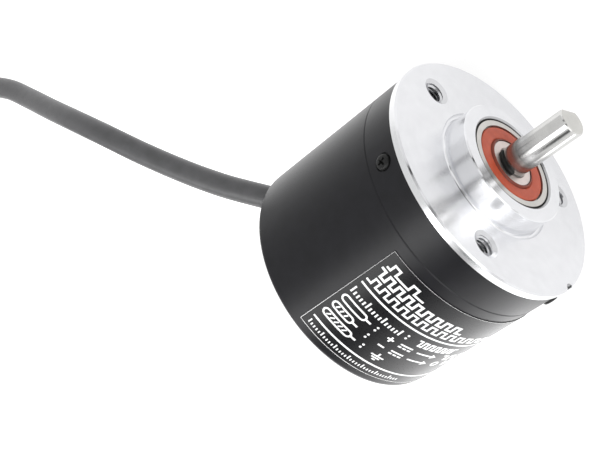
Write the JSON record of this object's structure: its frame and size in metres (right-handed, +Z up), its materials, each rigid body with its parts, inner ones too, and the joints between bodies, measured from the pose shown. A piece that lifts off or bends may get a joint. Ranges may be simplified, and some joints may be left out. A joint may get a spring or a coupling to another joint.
{
  "type": "rotary encoder",
  "caption": "Incremental rotary encoder: round flanged body with pilot boss and threaded mounting holes, flatted shaft on ball bearings, black cover, slanting cable exit with coiled cable.",
  "frame": {"origin": "on the shaft axis, in the plane of the flange's mounting face", "axes": "+X along the shaft, out of the flange; +Z up as the part lies on its side; the cable leaves towards -X and +Y"},
  "size_m": [0.2463, 0.1224, 0.05],
  "materials": {
    "machined_aluminium": "fine turned, bright",
    "black_cover": "satin black",
    "black_screw": "black oxide",
    "black_rubber": "matt",
    "label_foil": "satin black with pale print",
    "bearing_steel": "ground",
    "red_seal": "moulded",
    "cage_steel": "pressed",
    "shaft_steel": "ground",
    "clip_steel": "phosphated",
    "zinc_steel": "plated",
    "brass": "turned",
    "disc_steel": "etched",
    "circuit_board": "solder mask",
    "chip_plastic": "moulded",
    "led_clear": "clear",
    "capacitor_can": "sleeved",
    "connector_plastic": "moulded",
    "cable_jacket": "satin PVC",
    "tie_plastic": "nylon",
    "wire_plastic": "insulation"
  },
  "bodies": {
    "housing": {"flange": "machined_aluminium", "cover": "black_cover", "cover_screws": "black_screw", "cover_seal_ring": "black_rubber", "rating_label": "label_foil", "front_bearing_outer_ring": "bearing_steel", "front_bearing_seals": "red_seal", "rear_bearing_outer_ring": "bearing_steel", "rear_bearing_seals": "red_seal", "preload_washer": "zinc_steel", "led_holder": "chip_plastic", "led_emitter": "led_clear", "mask_plate": "disc_steel", "photo_detector": "chip_plastic", "main_board": "circuit_board", "board_posts": "brass", "board_screws": "zinc_steel", "signal_chip": "chip_plastic", "driver_chips": "chip_plastic", "smoothing_capacitor": "capacitor_can", "wire_connector": "connector_plastic", "inner_leads": "wire_plastic", "cable_bush": "black_rubber", "cable_clamp": "zinc_steel", "cable_tube": "cable_jacket", "cable_coil": "cable_jacket", "cable_tail": "cable_jacket", "cable_tie": "tie_plastic", "lead_wires": "wire_plastic"},
    "rotor": {"shaft": "shaft_steel", "front_bearing_inner_ring": "bearing_steel", "rear_bearing_inner_ring": "bearing_steel", "retaining_ring": "clip_steel", "spacer_sleeve": "zinc_steel", "disc_hub": "brass", "hub_set_screws": "clip_steel", "code_disc": "disc_steel", "disc_clamp_ring": "brass"},
    "front_ball_set": {"front_bearing_balls": "bearing_steel", "front_bearing_cage": "cage_steel"},
    "rear_ball_set": {"rear_bearing_balls": "bearing_steel", "rear_bearing_cage": "cage_steel"}
  },
  "joints": [
    {"name": "shaft_spin", "type": "hinge", "parent": "housing", "child": "rotor", "pos_m": [0, 0, 0], "axis": [1, 0, 0], "continuous": true},
    {"name": "front_cage_spin", "type": "hinge", "parent": "housing", "child": "front_ball_set", "pos_m": [0.0015, 0, 0], "axis": [1, 0, 0], "continuous": true},
    {"name": "rear_cage_spin", "type": "hinge", "parent": "housing", "child": "rear_ball_set", "pos_m": [-0.015, 0, 0], "axis": [1, 0, 0], "continuous": true}
  ],
  "couplings": [
    {"joint": "front_cage_spin", "follows": "shaft_spin", "ratio": 0.36},
    {"joint": "rear_cage_spin", "follows": "shaft_spin", "ratio": 0.36}
  ]
}
